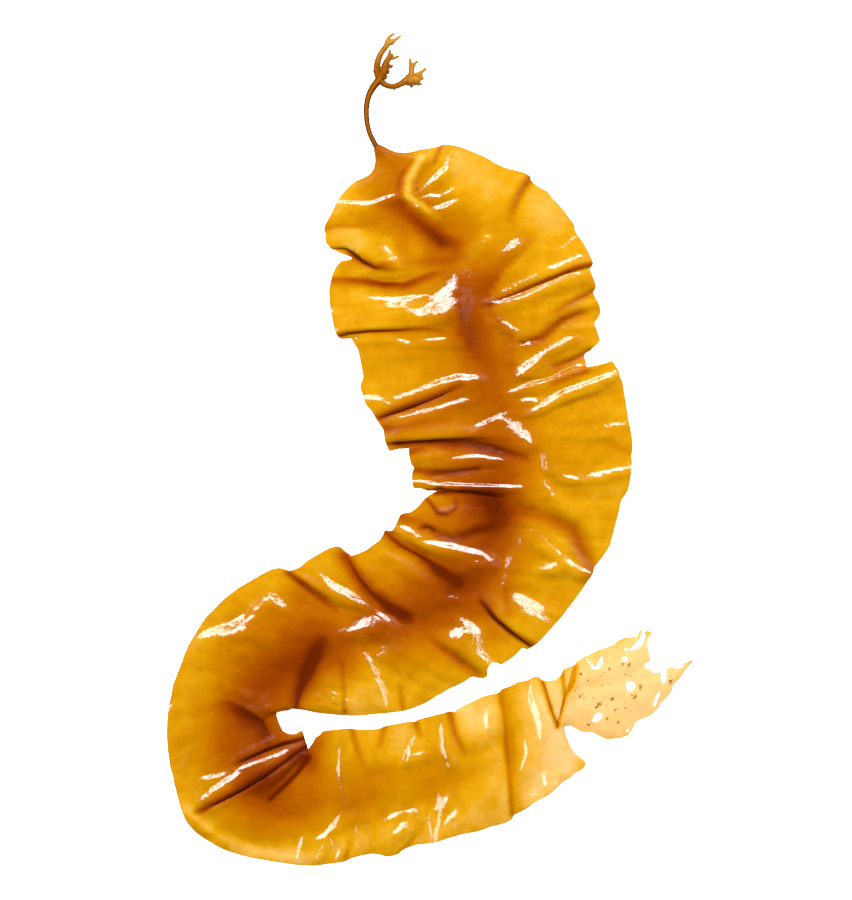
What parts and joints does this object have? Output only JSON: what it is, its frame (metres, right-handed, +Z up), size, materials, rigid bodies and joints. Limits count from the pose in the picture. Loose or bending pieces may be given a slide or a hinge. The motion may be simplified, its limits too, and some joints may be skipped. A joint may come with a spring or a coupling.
{
  "type": "kelp frond",
  "caption": "Young kelp laid flat as picked: a long ruffled amber blade bent into an S with a torn, holed tip, on a thin brown stipe with short branched haptera.",
  "frame": {"origin": "on the table, under the middle of the frond as it lies", "axes": "+Y along the lie of the frond, from the bend of the blade to the haptera; +X towards the torn tip; +Z up from the table"},
  "size_m": [0.2101, 0.3332, 0.0081],
  "materials": {
    "blade": "gloss",
    "stipe": "gloss",
    "holdfast": "satin"
  },
  "bodies": {
    "root": {"blade": "blade", "stipe": "stipe", "long_hapteron": "holdfast", "short_hapteron": "holdfast", "curved_hapteron": "holdfast"}
  },
  "joints": []
}
